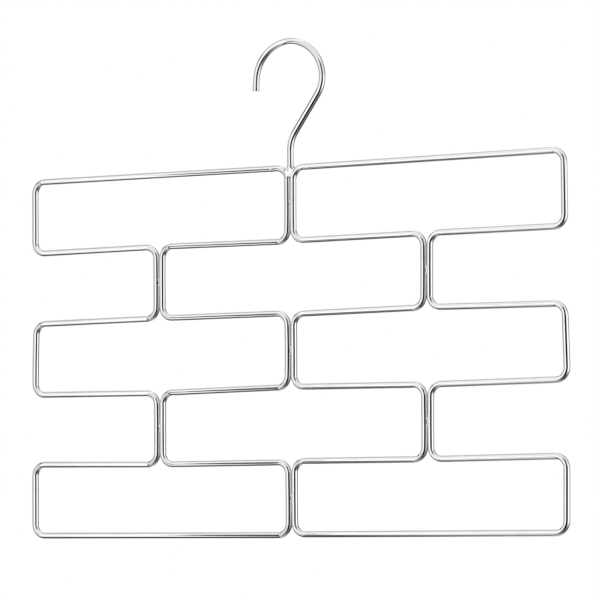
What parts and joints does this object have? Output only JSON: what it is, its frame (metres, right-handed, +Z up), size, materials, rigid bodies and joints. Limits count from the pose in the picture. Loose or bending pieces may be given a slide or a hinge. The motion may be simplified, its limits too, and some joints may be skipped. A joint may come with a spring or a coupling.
{
  "type": "legging hanger",
  "caption": "Flat chrome wire hanger with staggered rows of open bars below a round open hook, for hanging leggings, trousers or scarves from a rail.",
  "frame": {"origin": "inside top of the hook, where the rail that carries the hanger bears on it", "axes": "+X along the bars, to the right seen from the front; +Y from front to back; +Z up"},
  "size_m": [0.378, 0.0042, 0.3066],
  "materials": {
    "chrome_wire": "bright chrome plate, mirror smooth with faint drawing lines along the wire",
    "plated_weld": "weld metal under the same bright plate, slightly rippled"
  },
  "bodies": {
    "root": {"left_loop": "chrome_wire", "right_loop": "chrome_wire", "hook": "chrome_wire", "hook_weld": "plated_weld", "left_loop_joint": "plated_weld", "right_loop_joint": "plated_weld", "centre_weld_row_1": "plated_weld", "centre_weld_row_3": "plated_weld", "centre_weld_row_5": "plated_weld", "left_waist_weld_row_2": "plated_weld", "left_waist_weld_row_4": "plated_weld", "right_waist_weld_row_2": "plated_weld", "right_waist_weld_row_4": "plated_weld"}
  },
  "joints": []
}
